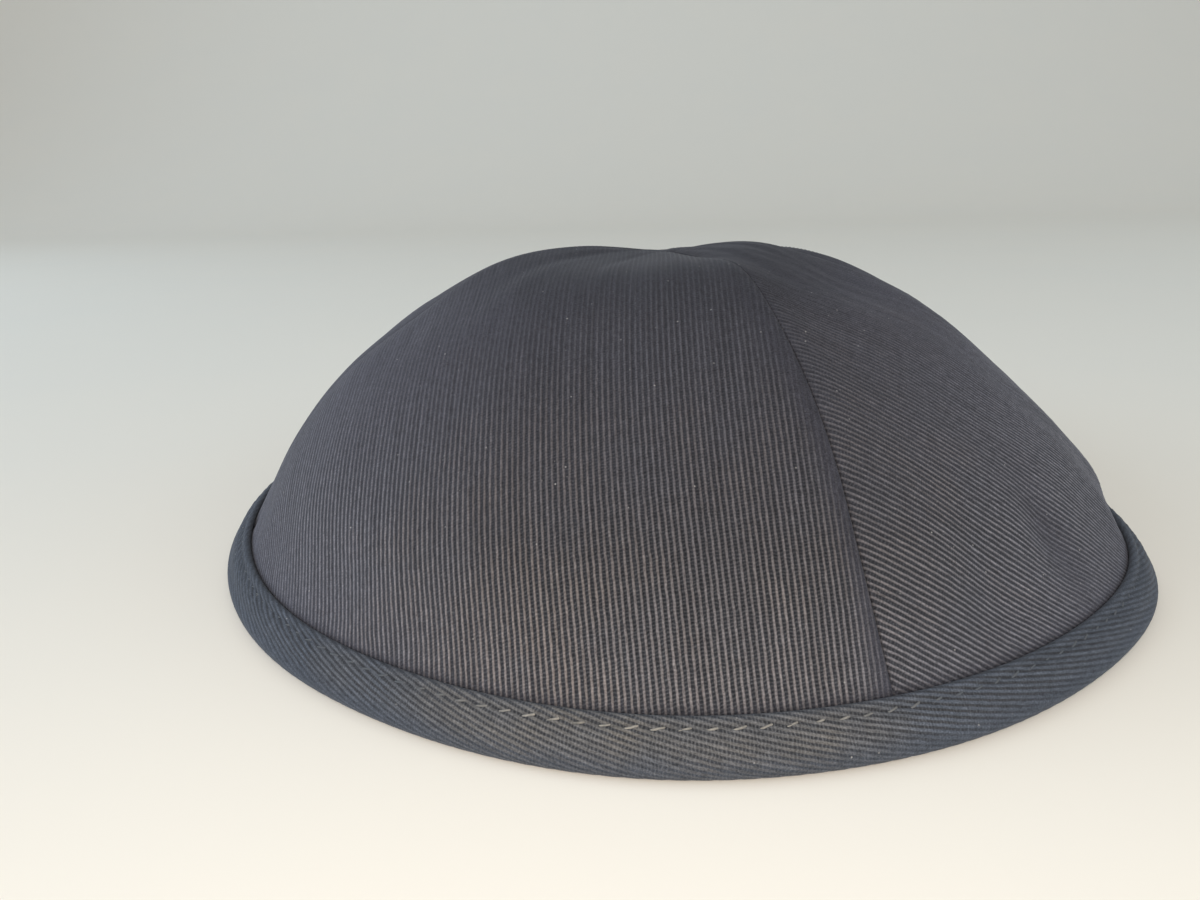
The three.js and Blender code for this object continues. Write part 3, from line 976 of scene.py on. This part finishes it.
# Each stitch is a short arched thread: a tapered tube round an arc that dips into the cloth at both ends
def makeStitches():
    random = np.random.default_rng(threadPiece["seed"])
    turn = (np.arange(stitchCount) + 0.5) * 2 * math.pi / stitchCount
    part = np.linspace(-1, 1, threadPiece["rings"])
    side = np.arange(threadPiece["sides"]) * 2 * math.pi / threadPiece["sides"]
    spread, slant = threadPiece["spread"], math.radians(threadPiece["slant"])
    parts, triangles = [], []
    for face in (1, -1):
        slants = slant + random.normal(0, spread, stitchCount)[:, None]
        halfLength = threadPiece["length"] * (1 + random.normal(0, spread, stitchCount)[:, None]) / 2
        across = part * halfLength * np.cos(slants)
        up = outerLeafLength - bindingPiece["stitchDrop"] + part * halfLength * np.sin(slants)
        buried = threadPiece["sideDepth"] * np.sin(turn) ** 2
        buried = buried + random.uniform(*threadPiece["depths"], stitchCount)
        lift = threadPiece["lift"] - bindingPiece["stitchSink"] - threadPiece["arch"] * part**4
        lift = lift - buried[:, None]
        radius = threadPiece["radius"] * np.sqrt(1 - threadPiece["taper"] * part**4)
        ringUp = up[..., None] + radius[:, None] * np.sin(side)
        ringOut = face * (foldRadius + lift[..., None] + radius[:, None] * np.cos(side))
        section = rimPoint(ringUp, ringOut)
        angle = np.degrees(turn[:, None] + across / rimRadius)[..., None]
        points = spun(section[..., 0], section[..., 1], angle + 0 * ringUp)
        index = gridNumbers(ringUp.shape, len(parts) * ringUp.size)
        shell = [gridTriangles(np.concatenate([index, index[:, :, :1]], 2))]
        for ring, order in ((index[:, 0], (0, 1, 2)), (index[:, -1], (0, 2, 1))):
            fan = np.stack([np.repeat(ring[:, :1], len(side) - 2, 1), ring[:, 1:-1], ring[:, 2:]], -1)
            shell.append(fan.reshape(-1, 3)[:, order])
        triangles.append(np.concatenate(shell)[:, ::face])  # the inner row is mirrored
        parts.append(points.reshape(-1, 3))
    points, triangles = np.concatenate(parts), np.concatenate(triangles)
    weave = np.zeros((len(points), 4))
    return makePiece("binding_stitches", points, triangles, threadMaterial(), weave)


stitches = makeStitches()

# Sizes in metres
sweepForm = {
    "halfWidth": 3.0,
    "front": (-3.0, -1.0),
    "bendFrom": 0.7,
    "bendRadius": 0.6,
    "wallTop": 3.0,
    "bendSteps": 25,
    "columns": 9,
    "paper": (0.83, 0.81, 0.76, 1),
    "paperPatches": (0.82, 0.805, 0.76, 1),
    "patchScale": 14,  # per metre
}


# Sweep: level floor that curves up through a quarter circle into an upright wall behind
def makeStage():
    turn = np.radians(np.linspace(0, 90, sweepForm["bendSteps"]))
    radius = sweepForm["bendRadius"]
    bend = np.stack([sweepForm["bendFrom"] + radius * np.sin(turn), radius - radius * np.cos(turn)], 1)
    floor = [[depth, 0] for depth in sweepForm["front"]]
    profile = np.concatenate([floor, bend, [[sweepForm["bendFrom"] + radius, sweepForm["wallTop"]]]])
    side = np.linspace(-sweepForm["halfWidth"], sweepForm["halfWidth"], sweepForm["columns"])
    points = np.stack(np.broadcast_arrays(side[:, None], profile[None, :, 0], profile[None, :, 1]), -1)
    triangles = gridTriangles(gridNumbers(points.shape[:2]))[:, ::-1]
    mesh = bpy.data.meshes.new("studioSweep")
    mesh.from_pydata(points.reshape(-1, 3).tolist(), [], triangles.tolist())
    mesh.polygons.foreach_set("use_smooth", np.ones(len(mesh.polygons), bool))
    material = bpy.data.materials.new("palePaper")
    make = NodeMaker(material)
    place = make.add("ShaderNodeTexCoord").outputs["Object"]
    mottle = make.noise(place, sweepForm["patchScale"], 3.0, 0.6)
    colour = make.mix(make.ramp(mottle, 0.3, 0.7), sweepForm["paper"], sweepForm["paperPatches"])
    make.surface({"Base Color": colour, "Roughness": 0.75, "Specular IOR Level": 0.2})
    mesh.materials.append(material)
    sweep = bpy.data.objects.new("studioSweep", mesh)
    bpy.context.scene.collection.objects.link(sweep)


lamps = {
    "keyLight": {
        "place": (-0.12, -1.0, 0.44), "target": (0, -0.02, 0.02), "size": 0.7, "watts": 2.5,
        "colour": (0.93, 0.95, 1.0),
    },
    "frontGlow": {
        "place": (0, -0.27, 0.13), "target": (0, -0.1, 0), "size": 0.14, "watts": 0.42,
        "colour": (1.0, 0.83, 0.66),
    },
    "leftFill": {
        "place": (-0.95, -0.1, 0.4), "target": (0, 0, 0.02), "size": 0.8, "watts": 5.0,
        "colour": (0.66, 0.84, 1.0),
    },
    "rightFill": {
        "place": (0.95, -0.1, 0.4), "target": (0, 0, 0.02), "size": 0.8, "watts": 2.2,
        "colour": (0.66, 0.87, 1.0),
    },
}
worldLight = {"Color": (0.985, 0.99, 0.965, 1), "Strength": 0.515}


# Square lamp that faces its target
def addLamp(name, lamp):
    light = bpy.data.lights.new(name, "AREA")
    light.shape, light.size, light.energy, light.color = "SQUARE", lamp["size"], lamp["watts"], lamp["colour"]
    holder = bpy.data.objects.new(name, light)
    holder.location = lamp["place"]
    aim = Vector(lamp["target"]) - Vector(lamp["place"])
    holder.rotation_euler = aim.to_track_quat("-Z", "Y").to_euler()
    bpy.context.scene.collection.objects.link(holder)


makeStage()
for name, lamp in lamps.items():
    addLamp(name, lamp)
world = bpy.data.worlds.new("studioWorld")
world.use_nodes = True
for socket, value in worldLight.items():
    world.node_tree.nodes["Background"].inputs[socket].default_value = value
bpy.context.scene.world = world
bpy.context.scene.view_settings.view_transform = "Standard"

viewpoint = {
    "place": (0, -1.9339, 0.7988),  # in rim radii
    "yaw": -0.0857,  # radians
    "pitch": 0.3331,
    "roll": -0.0298,
    "lens": 25.49,  # millimetres, on a sensor this wide
    "sensor": 36,
    "reach": (0.01, 20),  # metres between which things show
}


# Camera axes from yaw, then pitch down, then roll about the line of sight
def makeCamera():
    yaw, pitch, roll = (viewpoint[key] for key in ("yaw", "pitch", "roll"))
    ahead = Vector((math.sin(yaw) * math.cos(pitch), math.cos(yaw) * math.cos(pitch), -math.sin(pitch)))
    right = Vector((math.cos(yaw), -math.sin(yaw), 0))
    up = right.cross(ahead)
    turnedRight = math.cos(roll) * right + math.sin(roll) * up
    turnedUp = math.cos(roll) * up - math.sin(roll) * right
    data = bpy.data.cameras.new("mainCamera")
    data.lens, data.sensor_width = viewpoint["lens"], viewpoint["sensor"]
    data.clip_start, data.clip_end = viewpoint["reach"]
    camera = bpy.data.objects.new("mainCamera", data)
    axes = Matrix((turnedRight, turnedUp, -ahead)).transposed()
    camera.matrix_world = Matrix.Translation(Vector(viewpoint["place"]) * rimRadius * mm) @ axes.to_4x4()
    bpy.context.scene.collection.objects.link(camera)
    bpy.context.scene.camera = camera


makeCamera()
print("camera, lights and floor made")
